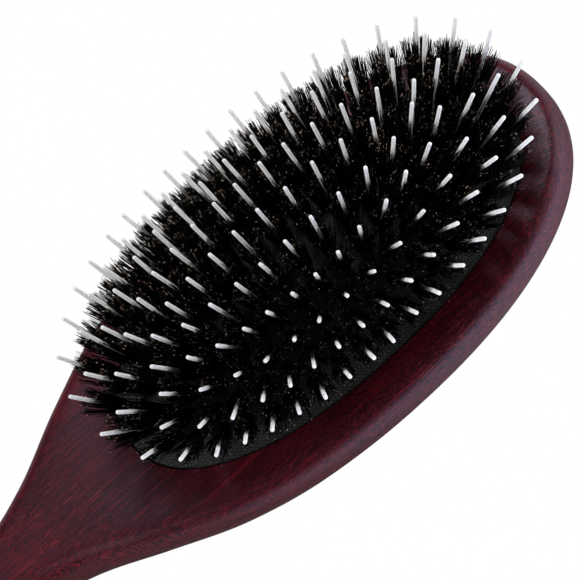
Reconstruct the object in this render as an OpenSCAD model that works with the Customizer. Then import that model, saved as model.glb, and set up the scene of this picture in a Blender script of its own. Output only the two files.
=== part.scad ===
// Oval cushion hairbrush: a one-piece wooden body, an air cushion of rubber with a
// woven face, and five rings of bristle tufts, each tuft round a longer nylon pin.
// The brush lies on its back. X runs from the handle to the tip of the head, Z is up.
// The origin is the middle of the bounding box, on the surface that the brush lies on.

/* [Wooden body] */
// Length of the whole brush
overall_length = 225; // [215:1:240]
// Width of the head at its widest
head_width = 68.8; // [66:0.2:74]
// Thickness of the head
head_thickness = 15; // [14:0.5:18]
// Width of the neck at its narrowest
neck_width = 17; // [16.5:0.5:20]
// Width of the grip at its widest
grip_width = 22.5; // [20:0.5:26]
// Thickness of the handle
handle_thickness = 13.5; // [12:0.5:14.5]

/* [Cushion] */
// Length of the cushion at its edge
cushion_length = 103.5; // [100:0.5:106]
// Width of the cushion at its edge
cushion_width = 51.2; // [50.6:0.2:54]
// Rise of the cushion above the face of the wood
cushion_rise = 7.5; // [6:0.5:9]
// Thickness of the woven face
fabric_thickness = 0.5; // [0.4:0.1:0.8]
// Thickness of the rubber
rubber_thickness = 1.4; // [1.2:0.1:2]

/* [Tufts] */
// Length of a nylon pin above the cushion
pin_length = 20.2; // [17:0.1:23]
// Diameter of a nylon pin
pin_diameter = 0.9; // [0.7:0.05:1.1]
// Length of the bristles above the cushion
bristle_length = 15.8; // [13:0.1:16.5]
// Diameter of a tuft where it comes out of the cushion
tuft_root_diameter = 1.9; // [1.6:0.1:2.2]
// Diameter of a tuft at its open end
tuft_end_diameter = 3.8; // [3:0.1:4]
// Distance from one ring of tufts to the next
ring_pitch = 4.3; // [4.1:0.05:4.35]
// Distance from the edge of the cushion to the outermost ring
rim_margin = 6.1; // [5.8:0.1:6.3]
// Lean of the tufts at the long sides, in degrees
side_lean = 44; // [30:1:46]
// Lean of the tufts at the tip of the head, in degrees
tip_lean = 50; // [25:1:50]
// Lean of the tufts at the handle end of the head, in degrees
end_lean = 26; // [25:1:40]

/* [Hidden] */

// Body outline: distances along X are from the middle of the cushion
tip_reach = 61;
widest_at = -2.7;
tip_power = 2.27;
cushion_x = overall_length / 2 - tip_reach;
end_reach = overall_length - tip_reach;
cap_length = 12;
cap_power = 2.3;
half_head = head_width / 2;
half_neck = neck_width / 2;
half_grip = grip_width / 2;
side_points = [
    [widest_at, half_head], [-26.7, 0.945 * half_head], [-44.7, 0.81 * half_head], [-60.7, 0.6 * half_head],
    [-76.7, 0.37 * half_head], [-92.7, half_neck], [-110.7, half_neck + 0.4], [-136.7, half_grip],
    [cap_length - end_reach, half_grip - 0.6]
];
tip_steps = 18;
side_steps = 30;
cap_steps = 8;

// Body edge: how far each curve of the edge lies in from the outline, head first, handle last
head_ends_at = -58.7;
handle_starts_at = -102.7;
face_round = [3.4, 5.6];
back_round = [9, 6.6];
crown_inset = [7, 6.4];
crown_drop = [0.5, 0.6];
widest_height = [head_thickness - 5.5, handle_thickness / 2];
edge_steps = 5;

// Cushion: the curves of the dome step in from its edge towards the middle line
half_long = cushion_length / 2;
half_wide = cushion_width / 2;
oval_power = 2.23;
dome_power = 2.3;
oval_points = 64;
dome_steps = 7;
dome_flat = 0.8;
face_z = head_thickness;
recess_depth = 8;
recess_gap = 0.25;
groove_low = 1.2;
groove_height = 2;
groove_width = 1.75;
lip_gap = 0.2;

// Tufts
tufts_in_ring = [20, 26, 27, 34, 40];
ring_start = [0, 0.5, 0.5, 0.5, 0.5];
rings = len(tufts_in_ring);
root_depth = fabric_thickness + rubber_thickness + 0.4;
hole_diameter = tuft_root_diameter + 0.7;
pin_bore_diameter = pin_diameter + 0.1;
staple_diameter = 0.5;
staple_length = 2.2;
walk_points = 180;
round_fn = 24;

function smooth(t) = t <= 0 ? 0 : t >= 1 ? 1 : t * t * (3 - 2 * t);
function handle_share(x) = smooth((head_ends_at - x) / (head_ends_at - handle_starts_at));
function blend(pair, x) = pair[0] + (pair[1] - pair[0]) * handle_share(x);

// Half width of the body along the handle side, as a smooth curve through side_points
function side_slope(i) =
    i == 0 || i == len(side_points) - 1 ? 0
    : (side_points[i + 1][1] - side_points[i - 1][1]) / (side_points[i + 1][0] - side_points[i - 1][0]);
function side_width(x, i = 0) =
    x < side_points[i + 1][0] && i < len(side_points) - 2 ? side_width(x, i + 1)
    : let (p = side_points[i], q = side_points[i + 1], span = q[0] - p[0], t = (x - p[0]) / span)
      (1 + 2 * t) * pow(1 - t, 2) * p[1] + t * pow(1 - t, 2) * span * side_slope(i)
      + t * t * (3 - 2 * t) * q[1] + t * t * (t - 1) * span * side_slope(i + 1);

// One side of the outline, from the tip of the head to the end of the handle
function tip_quarter() = [
    for (i = [0:tip_steps - 1]) let (a = 90 * i / tip_steps)
        [widest_at + (tip_reach - widest_at) * pow(cos(a), 2 / tip_power),
         half_head * pow(sin(a), 2 / tip_power)]
];
function side_run() = [
    for (i = [0:side_steps - 1]) let (x = widest_at + (cap_length - end_reach - widest_at) * i / side_steps)
        [x, side_width(x)]
];
function end_quarter() = [
    for (i = [0:cap_steps]) let (a = 90 * i / cap_steps)
        [cap_length - end_reach - cap_length * pow(sin(a), 2 / cap_power),
         side_points[len(side_points) - 1][1] * pow(max(0, cos(a)), 2 / cap_power)]
];
half_outline = concat(tip_quarter(), side_run(), end_quarter());
half_count = len(half_outline) - 1;
outline = concat(
    half_outline,
    [for (i = [half_count - 1:-1:1]) [half_outline[i][0], -half_outline[i][1]]]
);
outline_count = len(outline);
function outward(i) =
    let (step = outline[(i + 1) % outline_count] - outline[(i + outline_count - 1) % outline_count])
    [step[1], -step[0]] / norm(step);
function body_ring(insets, heights) = [
    for (i = [0:outline_count - 1])
        let (x = outline[i][0], p = outline[i] - blend(insets, x) * outward(i))
            [p[0], p[1], blend(heights, x)]
];
function body_rings() = concat(
    [for (j = [0:edge_steps]) let (a = 90 * j / edge_steps)
        body_ring(back_round * (1 - sin(a)), widest_height * (1 - cos(a)))],
    [for (j = [1:edge_steps]) let (a = 90 * j / edge_steps)
        body_ring(
            face_round * (1 - cos(a)),
            widest_height + ([head_thickness, handle_thickness] - crown_drop - widest_height) * sin(a))],
    [body_ring(crown_inset, [head_thickness, handle_thickness])]
);

// An oval that lies a given distance in from the edge of the cushion
function oval(inset, count = oval_points) = [
    for (i = [0:count - 1]) let (a = 360 * i / count)
        [(half_long - inset) * sign(cos(a)) * pow(abs(cos(a)), 2 / oval_power),
         (half_wide - inset) * sign(sin(a)) * pow(abs(sin(a)), 2 / oval_power)]
];
function oval_ring(inset, z) = [for (p = oval(inset)) [p[0], p[1], z]];
function dome_height(inset) = cushion_rise * (1 - pow(max(0, 1 - inset / half_wide), dome_power));

// A layer of the dome at a given depth under the outside, from its edge to the middle
function dome_ring(depth, step) =
    let (inset = depth + (half_wide - dome_flat - depth) * step / dome_steps)
    oval_ring(inset, face_z + dome_height(inset - depth * (1 - step / dome_steps)) - depth * step / dome_steps);
function dome_layer(depth) = [for (step = [0:dome_steps]) dome_ring(depth, step)];
function turned(list) = [for (i = [len(list) - 1:-1:0]) list[i]];

// A closed solid through a list of rings that mirror across the XZ plane
module loft(ring_list) {
    count = len(ring_list[0]);
    half = count / 2;
    last = (len(ring_list) - 1) * count;
    sides = [
        for (k = [0:len(ring_list) - 2], i = [0:count - 1]) let (j = (i + 1) % count)
            each [[k * count + i, k * count + count + i, k * count + j],
                  [k * count + j, k * count + count + i, k * count + count + j]]
    ];
    first_cap = [
        for (i = [0:half - 1]) let (a = [i, i + 1, count - i - 1, (count - i) % count])
            i == 0 ? [a[0], a[1], a[2]] : i == half - 1 ? [a[0], a[1], a[3]] : a
    ];
    last_cap = [for (face = first_cap) [for (i = [len(face) - 1:-1:0]) last + face[i]]];
    polyhedron(points = [for (ring = ring_list) each ring], faces = concat(sides, first_cap, last_cap));
}

module oval_plate(inset, low, high) {
    translate([0, 0, low]) linear_extrude(height = high - low) polygon(oval(inset));
}

// Places along a ring: equal steps of length, starting a given share of a step from the tip
function ring_inset(ring) = rim_margin + ring_pitch * (rings - ring);
function ring_walk(ring) = oval(ring_inset(ring), walk_points);
function walked(points) = [
    for (i = 0, total = 0; i <= len(points);
         total = total + norm(points[(i + 1) % len(points)] - points[i % len(points)]), i = i + 1) total
];
function place_at(points, lengths, target, i = 0) =
    lengths[i + 1] < target ? place_at(points, lengths, target, i + 1)
    : let (t = (target - lengths[i]) / (lengths[i + 1] - lengths[i]))
      points[i] * (1 - t) + points[(i + 1) % len(points)] * t;
function ring_places(ring) =
    let (points = ring_walk(ring), lengths = walked(points), count = tufts_in_ring[ring - 1],
         start = ring_start[ring - 1])
    [for (i = [0:count - 1]) place_at(points, lengths, lengths[walk_points] * (i + start) / count)];

// The lean grows quickly across the brush and slowly along it, then faster near its ends
function lean(p) =
    let (s = p[0] / (half_long - rim_margin), t = p[1] / (half_wide - rim_margin))
    [tan(s > 0 ? tip_lean : end_lean) * (0.55 * s + 0.45 * pow(s, 3)),
     tan(side_lean) * (1.35 * t - 0.35 * pow(t, 3))];

module at_tuft(p, inset) {
    slant = lean(p);
    translate([p[0], p[1], face_z + dome_height(inset)])
        rotate([0, atan(norm(slant)), atan2(slant[1], slant[0])])
            children();
}

module each_tuft(ring) {
    translate([cushion_x, 0, 0])
        for (p = ring_places(ring)) at_tuft(p, ring_inset(ring)) children();
}

module tuft_holes() {
    for (ring = [1:rings], p = ring_places(ring)) at_tuft(p, ring_inset(ring))
        translate([0, 0, -2 * root_depth]) cylinder(h = 4 * root_depth, d = hole_diameter, $fn = round_fn);
}

module wood_body() {
    recess_floor = face_z - recess_depth;
    groove_floor = recess_floor + groove_low;
    color("#5a1822") translate([cushion_x, 0, 0]) difference() {
        loft(body_rings());
        oval_plate(-recess_gap, recess_floor, face_z + 1);
        oval_plate(-groove_width, groove_floor, groove_floor + groove_height);
    }
}

module cushion_rubber() {
    inside = fabric_thickness + rubber_thickness;
    lip_low = face_z - recess_depth + groove_low + lip_gap;
    lip_high = lip_low + groove_height - 2 * lip_gap;
    shell = concat(
        turned(dome_layer(inside)),
        [oval_ring(inside, lip_low), oval_ring(lip_gap - groove_width, lip_low),
         oval_ring(lip_gap - groove_width, lip_high), oval_ring(0, lip_high),
         oval_ring(0, face_z - fabric_thickness)],
        dome_layer(fabric_thickness)
    );
    color("#1c1c1e") translate([cushion_x, 0, 0]) difference() {
        loft(shell);
        tuft_holes();
    }
}

module cushion_fabric() {
    shell = concat(turned(dome_layer(fabric_thickness)), dome_layer(0));
    color("#26272a") translate([cushion_x, 0, 0]) difference() {
        loft(shell);
        tuft_holes();
    }
}

module bristles(ring) {
    color("#161414") each_tuft(ring) translate([0, 0, -root_depth]) difference() {
        cylinder(h = root_depth + bristle_length, d1 = tuft_root_diameter, d2 = tuft_end_diameter, $fn = round_fn);
        translate([0, 0, -1])
            cylinder(h = root_depth + bristle_length + 2, d = pin_bore_diameter, $fn = round_fn);
    }
}

module pins(ring) {
    straight = root_depth + pin_length - pin_diameter / 2;
    color("#f2efe8") each_tuft(ring) translate([0, 0, -root_depth]) {
        cylinder(h = straight, d = pin_diameter, $fn = round_fn);
        translate([0, 0, straight]) sphere(d = pin_diameter, $fn = round_fn);
    }
}

module staples(ring) {
    color("#b9b4a8") each_tuft(ring) translate([0, 0, -root_depth - staple_diameter / 2])
        rotate([90, 0, 0])
            cylinder(h = staple_length, d = staple_diameter, center = true, $fn = round_fn);
}

wood_body();
cushion_rubber();
cushion_fabric();
for (ring = [1:rings]) {
    bristles(ring);
    pins(ring);
    staples(ring);
}
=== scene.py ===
"""Oval cushion hairbrush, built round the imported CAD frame. Lengths in the helpers are in millimetres."""
import math

import bpy
import numpy as np
from mathutils import Matrix, Vector
from mathutils.geometry import delaunay_2d_cdt


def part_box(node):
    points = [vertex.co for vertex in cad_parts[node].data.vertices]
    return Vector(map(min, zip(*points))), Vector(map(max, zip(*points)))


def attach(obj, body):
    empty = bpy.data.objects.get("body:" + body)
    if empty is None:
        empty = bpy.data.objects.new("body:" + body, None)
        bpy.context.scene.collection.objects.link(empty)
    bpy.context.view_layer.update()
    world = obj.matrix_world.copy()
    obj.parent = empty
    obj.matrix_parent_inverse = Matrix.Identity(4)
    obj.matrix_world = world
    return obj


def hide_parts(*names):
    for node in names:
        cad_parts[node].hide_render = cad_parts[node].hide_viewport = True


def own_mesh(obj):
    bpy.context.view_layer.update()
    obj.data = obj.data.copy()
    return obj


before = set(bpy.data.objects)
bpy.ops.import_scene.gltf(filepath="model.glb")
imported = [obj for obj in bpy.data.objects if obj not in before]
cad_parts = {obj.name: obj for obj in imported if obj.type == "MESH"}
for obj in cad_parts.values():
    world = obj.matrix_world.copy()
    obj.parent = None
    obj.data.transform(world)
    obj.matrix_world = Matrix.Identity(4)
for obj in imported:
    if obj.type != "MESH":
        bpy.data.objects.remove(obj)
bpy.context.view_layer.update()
MM = 0.001

# ---------------------------------------------------------------- measures taken from the frame
wood_low, wood_high = (np.array(c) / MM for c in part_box("wood_body"))
pad_low, pad_high = (np.array(c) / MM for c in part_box("cushion_fabric"))
CENTRE_X = (pad_low[0] + pad_high[0]) / 2
HALF_LONG = (pad_high[0] - pad_low[0]) / 2
HALF_WIDE = (pad_high[1] - pad_low[1]) / 2
FACE_Z = wood_high[2]
RISE = pad_high[2] - FACE_Z
HALF_HEAD = (wood_high[1] - wood_low[1]) / 2
TIP_REACH = wood_high[0] - CENTRE_X + 0.15
END_REACH = CENTRE_X - wood_low[0]

# Measures the boxes of the frame do not give. part.scad has the same values
HALF_NECK = 8.5
HALF_GRIP = 11.25
HANDLE_THICKNESS = 13.5
WIDEST_AT = -2.7
TIP_POWER = 2.27
CAP_LENGTH = 12.0
CAP_POWER = 2.3
HEAD_ENDS_AT = -58.7
HANDLE_STARTS_AT = -102.7
BACK_ROUND = (9.0, 6.6)
EDGE_IN = (3.7, 5.6)
EDGE_DROP = (0.2, 0.05)
EDGE_STOP = (82.0, 86.0)
WIDEST_HEIGHT = (FACE_Z - 5.5, HANDLE_THICKNESS / 2)
OVAL_POWER = 2.23
DOME_POWER = 2.3
RECESS_GAP = 0.25
RECESS_DEPTH = 8.0
GROOVE = (1.2, 3.2, 1.75)
FABRIC = 0.5
RUBBER = 1.4
ROOT_DEPTH = FABRIC + RUBBER + 0.4
RINGS = 5

# Tufts, in the looks only
HAIRS = 190
CLUMPS = 17
HAIR_AT = (0.0, 0.4, 0.78, 0.972, 1.0)
HAIR_LENGTH = 15.8
HAIR_SIDES = 3
ROOT_RADIUS = 0.95
PIN_RADIUS = 0.44
PIN_SIDES = 12
PIN_STEPS = 9
PIN_TIP_STEPS = 6
PIN_TIP_ROUND = 0.985  # The last ring of the rounded end stops just short of a point

rng = np.random.default_rng(87)


# ---------------------------------------------------------------- mesh helpers
def add_piece(name, points, faces, material, slot, body, replaced=(), sharp=None):
    """A mesh piece from points in mm that rides on a body."""
    mesh = bpy.data.meshes.new(name)
    mesh.from_pydata((np.asarray(points, float) * MM).tolist(), [], faces)
    mesh.update()
    mesh.shade_smooth()
    if sharp is not None:
        mesh.set_sharp_from_angle(angle=math.radians(sharp))
    mesh.materials.append(material)
    obj = bpy.data.objects.new(name, mesh)
    bpy.context.scene.collection.objects.link(obj)
    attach(obj, body)
    if replaced:
        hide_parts(*replaced)
    return obj


def band(low, high, count):
    """Quads between two closed rings that start at these point numbers."""
    return [(low + i, low + (i + 1) % count, high + (i + 1) % count, high + i) for i in range(count)]


def zipper(start, count, flip=False):
    """Faces that close a ring which mirrors across the XZ plane."""
    half = count // 2
    faces = []
    for i in range(half):
        a, b, c, d = start + i, start + i + 1, start + (count - i - 1) % count, start + (count - i) % count
        face = (a, b, c) if i == 0 else (a, b, d) if i == half - 1 else (a, b, c, d)
        faces.append(face[::-1] if flip else face)
    return faces


def smooth(t):
    t = np.clip(t, 0, 1)
    return t * t * (3 - 2 * t)


def resampled(points, count):
    """An open line of points at even steps of length, both ends kept."""
    run = np.r_[0, np.cumsum(np.hypot(*np.diff(points, axis=0).T))]
    at = np.linspace(0, run[-1], count)
    return np.stack([np.interp(at, run, points[:, k]) for k in (0, 1)], 1)


# ---------------------------------------------------------------- outline of the wooden body
def side_width(x):
    table = np.array([
        [WIDEST_AT, HALF_HEAD], [-26.7, 0.945 * HALF_HEAD], [-44.7, 0.81 * HALF_HEAD], [-60.7, 0.6 * HALF_HEAD],
        [-76.7, 0.37 * HALF_HEAD], [-92.7, HALF_NECK], [-110.7, HALF_NECK + 0.4], [-136.7, HALF_GRIP],
        [CAP_LENGTH - END_REACH, HALF_GRIP - 0.6],
    ])
    slope = np.zeros(len(table))
    slope[1:-1] = (table[2:, 1] - table[:-2, 1]) / (table[2:, 0] - table[:-2, 0])
    i = np.clip(np.searchsorted(-table[:, 0], -np.asarray(x), side="right") - 1, 0, len(table) - 2)
    p, q = table[i], table[i + 1]
    span = q[:, 0] - p[:, 0]
    t = (x - p[:, 0]) / span
    return ((1 + 2 * t) * (1 - t) ** 2 * p[:, 1] + t * (1 - t) ** 2 * span * slope[i]
            + t * t * (3 - 2 * t) * q[:, 1] + t * t * (t - 1) * span * slope[i + 1])


def body_outline(half_count):
    a = np.linspace(0, math.pi / 2, 400)
    tip = np.stack([WIDEST_AT + (TIP_REACH - WIDEST_AT) * np.cos(a).clip(0) ** (2 / TIP_POWER),
                    HALF_HEAD * np.sin(a) ** (2 / TIP_POWER)], 1)
    x = np.linspace(WIDEST_AT, CAP_LENGTH - END_REACH, 700)[1:-1]
    side = np.stack([x, side_width(x)], 1)
    end = np.stack([CAP_LENGTH - END_REACH - CAP_LENGTH * np.sin(a) ** (2 / CAP_POWER),
                    (HALF_GRIP - 0.6) * np.cos(a).clip(0) ** (2 / CAP_POWER)], 1)
    half = resampled(np.vstack([tip, side, end]), half_count + 1)
    return np.vstack([half, half[-2:0:-1] * [1, -1]])


def handle_share(x):
    return smooth((HEAD_ENDS_AT - x) / (HEAD_ENDS_AT - HANDLE_STARTS_AT))


def mixed(pair, x):
    return pair[0] + (pair[1] - pair[0]) * handle_share(x)


def top_height(x):
    return mixed((FACE_Z, HANDLE_THICKNESS), x)


def oval(inset, count):
    """Closed oval at even steps of length that starts on the +X end."""
    a = np.linspace(0, math.pi, 1441)
    dense = np.stack([
        (HALF_LONG - inset) * np.sign(np.cos(a)) * np.abs(np.cos(a)) ** (2 / OVAL_POWER),
        (HALF_WIDE - inset) * np.abs(np.sin(a)) ** (2 / OVAL_POWER)], 1)
    half = resampled(dense, count // 2 + 1)
    return np.vstack([half, half[-2:0:-1] * [1, -1]])


def filled(outer, holes, inner_points):
    """Triangles between closed loops, with more points inside. Returns the points and the faces."""
    loops = [outer, *holes]
    points = np.vstack([*loops, inner_points]) if len(inner_points) else np.vstack(loops)
    edges, start = [], 0
    for loop in loops:
        n = len(loop)
        edges += [(start + i, start + (i + 1) % n) for i in range(n)]
        start += n
    found = delaunay_2d_cdt([Vector(p) for p in points], edges, [], 1, 1e-7)
    order = [ids[0] for ids in found[3]]
    return points, [tuple(order[i] for i in f) for f in found[2]]


def wooden_body(material):
    count = 560
    outline = body_outline(count // 2)
    step = np.roll(outline, -1, 0) - np.roll(outline, 1, 0)
    out = np.stack([step[:, 1], -step[:, 0]], 1)
    out /= np.linalg.norm(out, axis=1)[:, None]
    x = outline[:, 0]
    wide = mixed(WIDEST_HEIGHT, x)

    def ring(inset, z):
        return np.c_[outline - inset[:, None] * out, z]

    rings = []
    for a in np.linspace(0, math.pi / 2, 13):
        rings.append(ring(mixed(BACK_ROUND, x) * (1 - math.sin(a)), wide * (1 - math.cos(a))))
    # The edge rises as an ellipse, tight at the ridge, then eases into the flat face on a parabola
    stop = np.radians(mixed(EDGE_STOP, x))
    in_, up = mixed(EDGE_IN, x), top_height(x) - wide - mixed(EDGE_DROP, x)
    for k in range(1, 17):
        a = stop * k / 16
        rings.append(ring(in_ * (1 - np.cos(a)), wide + up * np.sin(a)))
    slope = up * np.cos(stop) / (in_ * np.sin(stop))
    left = top_height(x) - wide - up * np.sin(stop)
    for t in (0.2, 0.45, 0.7, 1.0):
        run = 2 * left / slope
        rings.append(ring(in_ * (1 - np.cos(stop)) + run * t, top_height(x) - left * (1 - t) ** 2))
    points = [np.vstack(rings)]
    faces = []
    for k in range(len(rings) - 1):
        faces += band(k * count, (k + 1) * count, count)

    # The back is flat: only its rim carries points
    back = rings[0]
    _, triangles = filled(back[:, :2], [], [])
    faces += [tuple(t[::-1]) for t in triangles]

    # The face: triangles between the crown of the edge and the mouth of the recess
    crown = rings[-1]
    mouth_count = 360
    lip = 0.35
    grid_step, grid_side = 1.5, 33.75
    mouth = oval(-RECESS_GAP - lip, mouth_count)
    crown_half = crown[: count // 2 + 1]
    grid_x, grid_y = np.meshgrid(np.arange(-END_REACH, TIP_REACH, grid_step),
                                 np.arange(-grid_side, grid_side + 0.25, grid_step))
    grid = np.stack([grid_x.ravel(), grid_y.ravel()], 1) + rng.uniform(-0.3, 0.3, (grid_x.size, 2))
    width_there = np.interp(grid[:, 0], crown_half[::-1, 0], crown_half[::-1, 1], left=0, right=0)
    in_crown = np.abs(grid[:, 1]) < width_there - 0.9
    beyond = ((np.abs(grid[:, 0]) / (HALF_LONG + 1.6)) ** OVAL_POWER
              + (np.abs(grid[:, 1]) / (HALF_WIDE + 1.6)) ** OVAL_POWER) > 1
    top, triangles = filled(crown[:, :2], [mouth], grid[in_crown & beyond])
    # The mouth is convex with no points inside, so a triangle is inside it if all its corners are on it
    on_mouth = range(count, count + mouth_count)
    keep = [not all(i in on_mouth for i in t) for t in triangles]
    base = sum(len(p) for p in points)
    number = np.r_[np.arange(count) + (len(rings) - 1) * count, base + np.arange(len(top) - count)]
    points.append(np.c_[top[count:], top_height(top[count:, 0])])
    faces += [tuple(int(number[i]) for i in t) for t, k in zip(triangles, keep) if k]

    # The recess: a rounded mouth, a wall with the groove for the lip of the rubber, and a floor
    floor = FACE_Z - RECESS_DEPTH
    profile = [(-RECESS_GAP - lip * (1 - math.sin(a)), FACE_Z - lip * (1 - math.cos(a)))
               for a in np.linspace(0, math.pi / 2, 6)[1:]]
    profile += [(-RECESS_GAP, floor + GROOVE[1]), (-GROOVE[2], floor + GROOVE[1]), (-GROOVE[2], floor + GROOVE[0]),
                (-RECESS_GAP, floor + GROOVE[0]), (-RECESS_GAP, floor)]
    profile += [(inset, floor) for inset in (6.0, 12.0, 18.0, 24.0)]
    above = base
    for inset, z in profile:
        below = sum(len(p) for p in points)
        points.append(np.c_[oval(inset, mouth_count), np.full(mouth_count, z)])
        faces += band(above, below, mouth_count)
        above = below
    faces += zipper(above, mouth_count)
    points = np.vstack(points) + [CENTRE_X, 0, 0]
    add_piece("wooden_body", points, faces, material, "wood", "handle_and_cushion", ["wood_body"], sharp=50)


# ---------------------------------------------------------------- tufts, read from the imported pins
def tuft_lines(ring):
    """Foot and tip of each pin of a ring, in mm, measured on the node's own mesh."""
    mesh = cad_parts[f"pins_ring_{ring}"].data
    co = np.zeros(len(mesh.vertices) * 3)
    mesh.vertices.foreach_get("co", co)
    co = co.reshape(-1, 3) / MM
    ends = np.zeros(len(mesh.edges) * 2, int)
    mesh.edges.foreach_get("vertices", ends)
    ends = ends.reshape(-1, 2)
    label = np.arange(len(co))
    while True:
        low = np.minimum(label[ends[:, 0]], label[ends[:, 1]])
        before = label.copy()
        np.minimum.at(label, ends[:, 0], low)
        np.minimum.at(label, ends[:, 1], low)
        label = label[label]
        if (label == before).all():
            break
    lines = []
    for k in np.unique(label):
        p = co[label == k]
        mid = p.mean(0)
        axis = np.linalg.svd(p - mid, full_matrices=False)[2][0]
        axis = axis if axis[2] > 0 else -axis
        along = (p - mid) @ axis
        lines.append((mid + axis * along.min(), mid + axis * along.max()))
    return lines


def merged(lines, apart=1.0):
    """Pins whose mesh came in more than one island are joined into one line each."""
    out = []
    for foot, tip in lines:
        for k, (f, t) in enumerate(out):
            if np.linalg.norm(f - foot) < apart or np.linalg.norm(t - tip) < apart:
                out[k] = (min(f, foot, key=lambda p: p[2]), max(t, tip, key=lambda p: p[2]))
                break
        else:
            out.append((foot, tip))
    return out


def cross_frame(axis):
    side = np.cross(axis, [0.0, 0.0, 1.0] if abs(axis[2]) < 0.9 else [1.0, 0.0, 0.0])
    side /= np.linalg.norm(side)
    return side, np.cross(axis, side)


def hair_mesh(paths, radii, sides):
    """Tapered hairs. paths is (hairs, steps, 3) and radii (hairs, steps), in mm."""
    hairs, steps = radii.shape
    along = np.gradient(paths, axis=1)
    along /= np.linalg.norm(along, axis=2)[..., None]
    ref = np.broadcast_to([0.31, 0.95, 0.05], along.shape)
    u = np.cross(along, ref)
    u /= np.linalg.norm(u, axis=2)[..., None]
    v = np.cross(along, u)
    turn = np.linspace(0, 2 * math.pi, sides, endpoint=False)
    points = (paths[:, :, None, :] + radii[:, :, None, None]
              * (u[:, :, None, :] * np.cos(turn)[None, None, :, None]
                 + v[:, :, None, :] * np.sin(turn)[None, None, :, None]))
    one = []
    for k in range(steps - 1):
        one += [(k * sides + j, k * sides + (j + 1) % sides, (k + 1) * sides + (j + 1) % sides, (k + 1) * sides + j)
                for j in range(sides)]
    caps = [tuple(range(sides))[::-1], tuple((steps - 1) * sides + j for j in range(sides))]
    stride = steps * sides
    starts = (np.arange(hairs) * stride)[:, None, None]
    faces = (np.array(one)[None] + starts).reshape(-1, 4).tolist()
    faces += (np.array(caps)[None] + starts).reshape(-1, sides).tolist()
    return points.reshape(-1, 3), faces


def tuft_hairs(foot, tip):
    """The hairs of one tuft, which gather in small clumps.

    Returns their paths and radii, a random tone for each hair, and how far along it each point is.
    """
    axis = (tip - foot) / np.linalg.norm(tip - foot)
    surface = foot + axis * ROOT_DEPTH
    e1, e2 = cross_frame(axis)

    def disc(count, radius):
        angle = rng.uniform(0, 2 * math.pi, count)
        return np.stack([np.cos(angle), np.sin(angle)], 1) * (radius * np.sqrt(rng.uniform(0, 1, count)))[:, None]

    root = disc(HAIRS, ROOT_RADIUS)
    # Clumps are picked by where a hair is rooted, so the strands do not cross
    middles = disc(CLUMPS, ROOT_RADIUS)
    clump = np.linalg.norm(root[:, None] - middles[None], axis=2).argmin(1)
    spread = rng.normal(3.15, 0.25)
    ends = middles / ROOT_RADIUS * spread * [1.1, 0.92] + rng.normal(0, 0.22, (CLUMPS, 2))
    loose = rng.random(HAIRS) < 0.4
    end = ends[clump] + rng.normal(0, 0.24, (HAIRS, 2))
    end[loose] = root[loose] / ROOT_RADIUS * spread + rng.normal(0, 0.45, (loose.sum(), 2))
    level = 1 - 0.13 * rng.beta(1.2, 2.0, CLUMPS)
    length = level[clump] - 0.07 * rng.beta(1.2, 2.2, HAIRS) - 0.035 * (np.linalg.norm(end, axis=1) / spread) ** 2
    short = rng.random(HAIRS) < 0.12
    length[short] *= rng.uniform(0.62, 0.94, short.sum())
    long_ = rng.random(HAIRS) < 0.07
    length[long_] *= rng.uniform(1.02, 1.07, long_.sum())
    length *= HAIR_LENGTH
    t = np.array(HAIR_AT)
    # The part below the cloth is straight and packed, the rest opens like a fan
    below = ROOT_DEPTH * 0.8 / HAIR_LENGTH
    height = (t[None] * (1 + below) - below) * length[:, None]
    open_ = np.clip(height / length[:, None], 0, 1)
    bend = rng.normal(0, 0.3, (HAIRS, 2)) * np.where(rng.random(HAIRS) < 0.15, 2.4, 1.0)[:, None]
    off = (root[:, None] * (1 - open_ ** 0.9)[..., None] + end[:, None] * (open_ ** 0.9)[..., None]
           + bend[:, None] * (open_ ** 3)[..., None])
    paths = surface + height[..., None] * axis + off[..., :1] * e1 + off[..., 1:] * e2
    thick = rng.uniform(0.085, 0.125, HAIRS)
    taper = 1 - 0.5 * open_ ** 3
    return paths, thick[:, None] * taper, rng.random(HAIRS), open_


def put_attribute(mesh, name, values):
    data = mesh.attributes.new(name, "FLOAT", "POINT")
    data.data.foreach_set("value", np.asarray(values, np.float32).ravel())


def bristle_piece(ring, material):
    paths, radii, tones, opens = [], [], [], []
    for foot, tip in TUFTS[ring]:
        p, r, tone, open_ = tuft_hairs(foot, tip)
        paths.append(p), radii.append(r), tones.append(tone), opens.append(open_)
    points, faces = hair_mesh(np.vstack(paths), np.vstack(radii), HAIR_SIDES)
    obj = add_piece(f"boar_bristles_{ring}", points, faces, material, "bristle", f"tufts_{ring}",
                    [f"bristles_ring_{ring}"])
    put_attribute(obj.data, "hair_tone", np.repeat(np.concatenate(tones), len(HAIR_AT) * HAIR_SIDES))
    put_attribute(obj.data, "hair_along", np.repeat(np.vstack(opens).ravel(), HAIR_SIDES))


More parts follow.
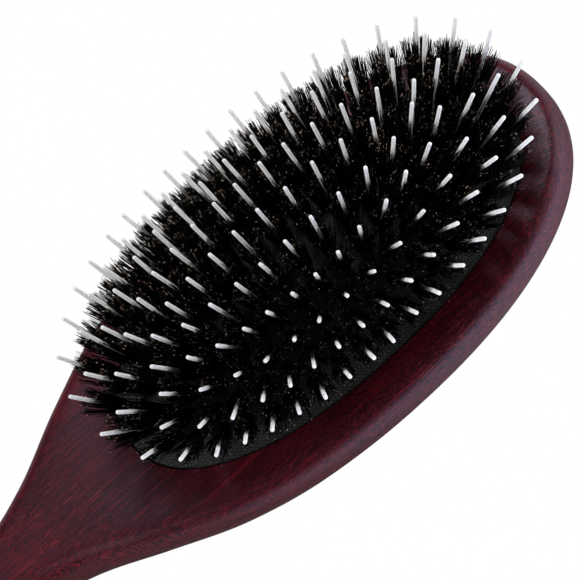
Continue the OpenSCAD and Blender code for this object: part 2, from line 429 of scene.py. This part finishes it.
def pin_piece(ring, material):
    paths, radii = [], []
    turn = np.linspace(0, math.pi / 2, PIN_TIP_STEPS + 1)[1:] * PIN_TIP_ROUND
    for foot, tip in TUFTS[ring]:
        axis = (tip - foot) / np.linalg.norm(tip - foot)
        length = np.linalg.norm(tip - foot)
        e1, e2 = cross_frame(axis)
        bend = rng.normal(0, 0.22, 2)
        straight = np.linspace(0, length - PIN_RADIUS, PIN_STEPS)
        s = np.r_[straight, length - PIN_RADIUS + PIN_RADIUS * np.sin(turn)]
        r = np.r_[PIN_RADIUS * (1.04 - 0.06 * straight / length), PIN_RADIUS * 0.98 * np.cos(turn)]
        off = (s / length) ** 2
        paths.append(foot + s[:, None] * axis + (off * bend[0])[:, None] * e1 + (off * bend[1])[:, None] * e2)
        radii.append(r)
    points, faces = hair_mesh(np.array(paths), np.array(radii), PIN_SIDES)
    add_piece(f"nylon_pins_{ring}", points, faces, material, "nylon", f"tufts_{ring}", [f"pins_ring_{ring}"])


# ---------------------------------------------------------------- cushion
def dome_height(inset):
    return RISE * (1 - np.clip(1 - inset / HALF_WIDE, 0, None) ** DOME_POWER)


def dimples(points, depth):
    """The cloth is drawn in round each tuft, with a soft swell beside it."""
    feet = np.array([f + (t - f) / np.linalg.norm(t - f) * ROOT_DEPTH for r in TUFTS for f, t in TUFTS[r]])
    feet = feet[:, :2] - [CENTRE_X, 0]
    out = points.copy()
    for start in range(0, len(points), 4000):
        part = points[start:start + 4000, :2]
        d = np.hypot(part[:, None, 0] - feet[None, :, 0], part[:, None, 1] - feet[None, :, 1])
        out[start:start + 4000, 2] += (-depth * np.exp(-(d / 1.25) ** 2)
                                       + 0.3 * depth * np.exp(-((d - 2.1) / 0.75) ** 2)).sum(1)
    return out


def dome_layer(count, insets, depth):
    """Rings of one side of a layer, from the edge to the middle line, depth under the outside."""
    rings = []
    for inset in insets:
        share = inset / insets[-1]
        inside = depth * (1 - share) + inset
        rings.append(np.c_[oval(inside, count), np.full(count, FACE_Z + dome_height(inset) - depth * share)])
    return rings


def shell_piece(name, rings, count, material, slot, **more):
    points = np.vstack(rings)
    faces = []
    for k in range(len(rings) - 1):
        faces += band(k * count, (k + 1) * count, count)
    faces += zipper(0, count, flip=True) + zipper((len(rings) - 1) * count, count)
    return add_piece(name, points + [CENTRE_X, 0, 0], faces, material, slot, "handle_and_cushion", **more)


def cloth_face(material):
    count = 480
    last = HALF_WIDE - 0.12
    edge_z = FACE_Z - 0.55
    insets = last * np.r_[np.linspace(0, 1, 84)[1:] ** 1.12]
    outer = dome_layer(count, insets, 0.0)
    outer = [dimples(r, 0.42) for r in outer]
    # The cut edge turns down into the gap between rubber and wood
    shoulder = []
    for a in np.linspace(0, math.pi / 2, 6)[:-1]:
        inset = insets[0] * (1 - math.cos(a)) * 0.9
        z = edge_z + (FACE_Z + dome_height(insets[0]) - edge_z) * math.sin(a)
        shoulder.append(np.c_[oval(inset, count), np.full(count, z)])
    inner = dome_layer(count, last * np.linspace(0.02, 1, 40), FABRIC)
    inner.insert(0, np.c_[oval(FABRIC, count), np.full(count, edge_z)])
    return shell_piece("cushion_cloth", inner[::-1] + shoulder + outer, count, material, "fabric",
                       replaced=["cushion_fabric"])


def rubber_dome(material):
    count = 240
    last = HALF_WIDE - 0.6
    gap = 0.03
    outer = dome_layer(count, last * np.linspace(0, 1, 26), FABRIC + gap)
    inner = dome_layer(count, last * np.linspace(0, 1, 26), FABRIC + RUBBER)
    return shell_piece("cushion_rubber_dome", inner[::-1] + outer, count, material, "rubber",
                       replaced=["cushion_rubber"])


def rubber_foot(material):
    """The wall and the snap-in lip of the rubber, which stay still in the recess."""
    count = 240
    floor = FACE_Z - RECESS_DEPTH
    low, high = floor + GROOVE[0] + 0.2, floor + GROOVE[1] - 0.2
    reach = 0.2 - GROOVE[2]
    profile = [(FABRIC + RUBBER, FACE_Z - 0.1), (FABRIC + RUBBER, low + 0.2), (FABRIC + RUBBER - 0.2, low),
               (reach + 0.3, low), (reach, low + 0.3), (reach, high - 0.3), (reach + 0.3, high),
               (0.05, high), (0.05, FACE_Z - FABRIC - 0.25), (FABRIC + 0.03, FACE_Z - FABRIC - 0.25),
               (FABRIC + 0.03, FACE_Z - 0.1)]
    points = np.vstack([np.c_[oval(inset, count), np.full(count, z)] for inset, z in profile])
    faces = []
    for k in range(len(profile)):
        faces += band(k * count, ((k + 1) % len(profile)) * count, count)
    return add_piece("cushion_rubber_foot", points + [CENTRE_X, 0, 0], faces, material, "rubber",
                     "handle_and_cushion", ["cushion_rubber"], sharp=40)


# ---------------------------------------------------------------- materials
class Graph:
    """A short way to write shader nodes."""

    def __init__(self, name):
        self.material = bpy.data.materials.new(name)
        self.material.use_nodes = True
        self.tree = self.material.node_tree
        self.shader = self.tree.nodes["Principled BSDF"]

    def node(self, kind, settings=None, **inputs):
        n = self.tree.nodes.new(kind)
        for key, value in (settings or {}).items():
            setattr(n, key, value)
        for key, value in inputs.items():
            socket = n.inputs[int(key[1:]) if key[0] == "i" and key[1:].isdigit() else key.replace("_", " ")]
            self.feed(socket, value)
        return n

    def feed(self, socket, value):
        if isinstance(value, bpy.types.NodeSocket):
            self.tree.links.new(value, socket)
        else:
            socket.default_value = value

    def math(self, operation, a, b=0.0, c=0.0):
        return self.node("ShaderNodeMath", {"operation": operation}, i0=a, i1=b, i2=c).outputs[0]

    def ramp(self, factor, stops):
        n = self.node("ShaderNodeValToRGB", i0=factor)
        for k, (at, colour) in enumerate(stops):
            e = n.color_ramp.elements[k] if k < 2 else n.color_ramp.elements.new(at)
            e.position = at
            e.color = (*colour, 1) if isinstance(colour, tuple) else (colour, colour, colour, 1)
        return n.outputs[0]

    def mix(self, factor, a, b):
        n = self.tree.nodes.new("ShaderNodeMix")
        n.data_type = "RGBA"
        self.feed(n.inputs[0], factor)
        for socket, value in ((n.inputs[6], a), (n.inputs[7], b)):
            self.feed(socket, (*value, 1) if isinstance(value, tuple) else value)
        return n.outputs[2]

    def place(self, scale=(1, 1, 1), turn=(0, 0, 0), move=(0, 0, 0)):
        """Object coordinates in millimetres, scaled, turned and moved."""
        where = self.node("ShaderNodeTexCoord").outputs["Object"]
        return self.node("ShaderNodeMapping", Vector=where, Scale=tuple(s / MM for s in scale), Rotation=turn,
                         Location=move).outputs[0]

    def noise(self, at, scale, detail=3.0, rough=0.55, distort=0.0):
        return self.node("ShaderNodeTexNoise", Vector=at, Scale=scale, Detail=detail, Roughness=rough,
                         Distortion=distort).outputs["Fac"]

    def bump(self, height, distance, strength):
        """Bump with its distance in millimetres."""
        return self.node("ShaderNodeBump", Height=height, Distance=distance * MM, Strength=strength).outputs[0]

    def finish(self, **inputs):
        for key, value in inputs.items():
            self.feed(self.shader.inputs[key.replace("_", " ")], value)
        return self.material


def srgb(code):
    """A hex colour as linear RGB."""
    parts = [int(code[k:k + 2], 16) / 255 for k in (0, 2, 4)]
    return tuple(c / 12.92 if c <= 0.04045 else ((c + 0.055) / 1.055) ** 2.4 for c in parts)


def wood_material():
    """Dark red stain over straight grain: growth layers, long flecks, and satin lacquer."""
    g = Graph("stained_wood")
    along_brush, _, height = g.node("ShaderNodeSeparateXYZ", Vector=g.place()).outputs
    blotch = g.noise(g.place((0.03, 0.075, 0.075)), 1.0, 3.0, 0.6)
    base = g.ramp(blotch, [(0.38, srgb("320a15")), (0.62, srgb("4b0f1b"))])
    layers = g.noise(g.place((0.012, 0.3, 0.3), move=(3.0, 1.0, 5.0)), 1.0, 2.0, 0.5, 0.3)
    layer = g.math("MULTIPLY_ADD", g.math("SINE", g.math("MULTIPLY", layers, 46.0)), 0.5, 0.5)
    base = g.mix(g.ramp(layer, [(0.3, 0.0), (1.0, 0.45)]), base, srgb("2a0811"))
    # On the rounded side the same layers are cut almost along, which gives nested contours
    cut = g.noise(g.place((0.045, 0.16, 0.16), move=(1.0, 8.0, 2.0)), 1.0, 1.0)
    contour = g.math("MULTIPLY_ADD", g.math("SINE", g.math("MULTIPLY", cut, 170.0)), 0.5, 0.5)
    side = g.ramp(g.math("DIVIDE", height, FACE_Z), [(0.84, 1.0), (0.97, 0.0)])
    to_tip = g.math("MULTIPLY_ADD", along_brush, 1 / (END_REACH + TIP_REACH), 0.5)
    side = g.math("MULTIPLY", side, g.ramp(to_tip, [(0.5, 1.0), (0.68, 0.12)]))
    base = g.mix(g.math("MULTIPLY", side, g.ramp(contour, [(0.5, 0.0), (0.9, 0.46)])), base, srgb("94242a"))
    base = g.mix(g.math("MULTIPLY", side, g.ramp(contour, [(0.1, 0.32), (0.45, 0.0)])), base, srgb("1d0710"))
    fine = g.noise(g.place((0.08, 3.3, 3.3)), 1.0, 5.0, 0.7)
    base = g.mix(g.ramp(fine, [(0.5, 0.0), (0.68, 0.6)]), base, srgb("88202a"))
    pores = g.noise(g.place((0.05, 2.7, 2.7), move=(2.0, 9.0, 4.0)), 1.0, 5.0, 0.7)
    base = g.mix(g.ramp(pores, [(0.51, 0.0), (0.64, 0.85)]), base, srgb("1e0509"))
    flecks = g.noise(g.place((0.09, 2.9, 2.9), move=(7.0, 3.0, 1.0)), 1.0, 2.0, 0.6)
    base = g.mix(g.ramp(flecks, [(0.66, 0.0), (0.74, 0.6)]), base, srgb("a5402f"))
    speck = g.noise(g.place((1.1, 2.0, 2.0)), 1.0, 3.0, 0.75)
    # The head's rim cuts the fibres across, so the grain breaks into specks there
    mottled = g.ramp(to_tip, [(0.5, 0.4), (0.72, 1.0)])
    base = g.mix(g.math("MULTIPLY", mottled, g.ramp(speck, [(0.38, 0.8), (0.5, 0.0)])), base, srgb("180408"))
    base = g.mix(g.math("MULTIPLY", mottled, g.ramp(speck, [(0.54, 0.0), (0.68, 0.6)])), base, srgb("861e2a"))
    rough = g.ramp(pores, [(0.35, 0.26), (0.62, 0.42)])
    uneven = g.math("ADD", g.math("SUBTRACT", fine, pores), speck)
    uneven = g.math("ADD", uneven, g.math("MULTIPLY", side, g.math("MULTIPLY", contour, 0.5)))
    normal = g.bump(uneven, 0.08, 0.6)
    return g.finish(Base_Color=base, Roughness=rough, Normal=normal, Specular_IOR_Level=0.34,
                    Specular_Tint=(0.78, 0.8, 1.0, 1.0))


def cloth_material():
    """Fine plain weave: threads that pass over and under, with a faint fuzz."""
    g = Graph("woven_cloth")
    where = g.place(turn=(0, 0, math.radians(38)))
    xyz = g.node("ShaderNodeSeparateXYZ", Vector=where).outputs
    pitch = 0.58
    u = g.math("MULTIPLY", xyz[0], math.pi / pitch)
    v = g.math("MULTIPLY", xyz[1], math.pi / pitch)
    su, sv = g.math("SINE", u), g.math("SINE", v)
    over = g.math("MULTIPLY_ADD", g.math("SIGN", g.math("MULTIPLY", su, sv)), 0.5, 0.5)
    warp = g.math("POWER", g.math("ABSOLUTE", su), 0.6)
    weft = g.math("POWER", g.math("ABSOLUTE", sv), 0.6)
    height = g.math("ADD", g.math("MULTIPLY", over, warp),
                    g.math("MULTIPLY", g.math("SUBTRACT", 1.0, over), g.math("MULTIPLY", weft, 0.8)))
    wear = g.noise(g.place(), 0.11, 4.0, 0.6)
    # Painted sheen and painted shade: the thread crowns are lighter and the hollows between the threads darker,
    # following the weave's height
    base = g.ramp(height, [(0.2, srgb("0b0b0b")), (0.9, srgb("424344"))])
    base = g.mix(g.ramp(wear, [(0.4, 0.0), (0.7, 0.5)]), base, srgb("0a0a0a"))
    normal = g.bump(height, 0.12, 0.8)
    return g.finish(Base_Color=base, Roughness=0.9, Normal=normal, Specular_IOR_Level=0.08)


def rubber_material():
    g = Graph("moulded_rubber")
    grain = g.noise(g.place(), 1.6, 3.0, 0.6)
    base = g.ramp(grain, [(0.3, srgb("17171a")), (0.7, srgb("222225"))])
    return g.finish(Base_Color=base, Roughness=g.ramp(grain, [(0.3, 0.55), (0.7, 0.7)]),
                    Normal=g.bump(grain, 0.05, 0.5))


def bristle_material():
    """Boar hair: near black shafts, some of them with brown or tan tips."""
    g = Graph("boar_hair")
    tone = g.node("ShaderNodeAttribute", {"attribute_name": "hair_tone"}).outputs["Fac"]
    along = g.node("ShaderNodeAttribute", {"attribute_name": "hair_along"}).outputs["Fac"]
    shaft = g.ramp(tone, [(0.0, srgb("040404")), (0.95, srgb("080707")), (1.0, srgb("100d0b"))])
    tip = g.ramp(tone, [(0.0, srgb("060505")), (0.75, srgb("0d0a0a")), (0.82, srgb("6e6864")),
                        (0.9, srgb("7a6658")), (0.97, srgb("b8a090")), (1.0, srgb("f0d2b0"))])
    base = g.mix(g.ramp(along, [(0.973, 0.0), (0.98, 1.0)]), shaft, tip)
    grain = g.noise(g.place(), 6.0, 2.0)
    return g.finish(Base_Color=base, Roughness=g.ramp(grain, [(0.3, 0.45), (0.7, 0.6)]), Specular_IOR_Level=0.1)


def nylon_material():
    g = Graph("white_nylon")
    cloud = g.noise(g.place(), 0.35, 3.0)
    base = g.ramp(cloud, [(0.3, srgb("e6e6e5")), (0.7, srgb("efefee"))])
    fine = g.noise(g.place(), 5.0, 2.0)
    return g.finish(Base_Color=base, Roughness=g.ramp(fine, [(0.3, 0.28), (0.7, 0.38)]), IOR=1.5,
                    Normal=g.bump(fine, 0.01, 0.3), Subsurface_Weight=0.8, Subsurface_Radius=(0.001, 0.001, 0.001),
                    Subsurface_Scale=1.0, Specular_IOR_Level=0.25)


def wire_material():
    g = Graph("staple_wire")
    drawn = g.noise(g.place((1, 6, 6)), 1.2, 3.0)
    base = g.ramp(drawn, [(0.3, srgb("8f8c85")), (0.7, srgb("bdb9b0"))])
    return g.finish(Base_Color=base, Metallic=1.0, Roughness=g.ramp(drawn, [(0.3, 0.28), (0.7, 0.42)]),
                    Normal=g.bump(drawn, 0.01, 0.4))


def floor_material():
    g = Graph("pale_floor")
    grain = g.noise(g.place((0.01, 0.01, 0.01)), 1.0, 2.0)
    base = g.ramp(grain, [(0.3, srgb("a0a0a0")), (0.7, srgb("a8a8a8"))])
    # The table glows, which is painted light standing in for light bounced off it, and the glow is dimmed close
    # round the brush as a painted contact shadow
    half_length, half_width = 112, 34
    xyz = g.node("ShaderNodeSeparateXYZ", Vector=g.place((1 / half_length, 1 / half_width, 1))).outputs
    reach = g.math("SQRT", g.math("ADD", g.math("MULTIPLY", xyz[0], xyz[0]), g.math("MULTIPLY", xyz[1], xyz[1])))
    glow = g.ramp(g.math("DIVIDE", reach, 3.0), [(0.36, 0.02), (0.62, 1.0)])
    # Painted shade: the glow is dimmed towards the -X end
    sweep = g.ramp(g.math("MULTIPLY_ADD", xyz[0], 0.28, 0.4), [(0.25, 0.25), (0.8, 1.0)])
    # Painted shade: the glow is dimmed towards the back (+Y)
    front = g.ramp(g.math("MULTIPLY_ADD", xyz[1], 0.2, 0.5), [(0.3, 1.0), (0.75, 0.15)])
    glow = g.math("MULTIPLY", g.math("MULTIPLY", glow, sweep), front)
    return g.finish(Base_Color=base, Roughness=0.9, Specular_IOR_Level=0.1, Emission_Color=(0.88, 0.93, 1.12, 1),
                    Emission_Strength=g.math("MULTIPLY", glow, 3.4))


# ---------------------------------------------------------------- the brush
TUFTS = {ring: merged(tuft_lines(ring)) for ring in range(1, RINGS + 1)}
wooden_body(wood_material())
cloth = cloth_face(cloth_material())
rubber = rubber_material()
dome = rubber_dome(rubber)
foot = rubber_foot(rubber)
bristle, nylon, wire = bristle_material(), nylon_material(), wire_material()
for ring in range(1, RINGS + 1):
    bristle_piece(ring, bristle)
    pin_piece(ring, nylon)
    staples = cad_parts[f"staples_ring_{ring}"]
    staples.data.materials.clear()
    staples.data.materials.append(wire)

# The cloth and the dome each get a mesh of their own
for piece in (cloth, dome):
    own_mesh(piece)


# ---------------------------------------------------------------- camera, light and floor
def set_camera():
    """A long lens from above, rolled so that the brush lies along the diagonal."""
    azimuth, elevation, roll = 0.02998, math.radians(60), -0.76411
    distance = 0.74283
    back = Vector((math.sin(azimuth) * math.cos(elevation), -math.cos(azimuth) * math.cos(elevation),
                   math.sin(elevation)))
    level = Vector((math.cos(azimuth), math.sin(azimuth), 0))
    up = level.cross(-back)
    right = math.cos(roll) * level + math.sin(roll) * up
    top = -math.sin(roll) * level + math.cos(roll) * up
    target = Vector((CENTRE_X - 4.507, 3.436, FACE_Z)) * MM
    camera = bpy.data.objects.new("camera", bpy.data.cameras.new("camera"))
    bpy.context.scene.collection.objects.link(camera)
    matrix = Matrix((right, top, back)).transposed().to_4x4()
    matrix.translation = target + back * distance
    camera.matrix_world = matrix
    camera.data.sensor_width = 36
    camera.data.lens = 222.1
    camera.data.shift_x = -0.0014
    camera.data.shift_y = -0.0189
    camera.data.clip_start = 0.01
    camera.data.clip_end = 20
    bpy.context.scene.camera = camera


def area_light(name, place, aim, size, power, mirrored=True):
    data = bpy.data.lights.new(name, "AREA")
    data.shape = "RECTANGLE"
    data.size, data.size_y = size
    data.energy = power
    light = bpy.data.objects.new(name, data)
    light.location = place
    light.rotation_euler = (Vector(aim) - Vector(place)).to_track_quat("-Z", "Y").to_euler()
    light.visible_glossy = mirrored
    bpy.context.scene.collection.objects.link(light)


set_camera()
area_light("tip_panel", (0.25, 0.26, 0.55), (0.09, 0, 0), (0.24, 0.24), 2.3)
area_light("front_fill", (0.1, -0.55, 0.6), (0, 0, 0), (0.5, 0.4), 0.6, mirrored=False)
area_light("face_panel", (-0.02, 0.4, 0.68), (0.03, 0, 0), (0.6, 0.36), 0.55)
area_light("left_box", (-0.8, 0.0, 0.5), (0, 0, 0), (0.7, 0.5), 5.8)
area_light("right_box", (0.8, -0.15, 0.3), (0, 0, 0), (0.5, 0.35), 2.4)
world = bpy.data.worlds.new("studio")
world.use_nodes = True
world.node_tree.nodes["Background"].inputs[0].default_value = (1, 1, 1, 1)
world.node_tree.nodes["Background"].inputs[1].default_value = 1.0
world.cycles_visibility.diffuse = False
world.cycles_visibility.glossy = False
bpy.context.scene.world = world
bpy.context.scene.view_settings.view_transform = "Standard"

floor_mesh = bpy.data.meshes.new("floor")
half_floor = 3.0
corners = [(x * half_floor, y * half_floor, 0) for x, y in ((-1, -1), (1, -1), (1, 1), (-1, 1))]
floor_mesh.from_pydata(corners, [], [(0, 1, 2, 3)])
floor_mesh.materials.append(floor_material())
floor = bpy.data.objects.new("floor", floor_mesh)
bpy.context.scene.collection.objects.link(floor)
floor.visible_camera = False
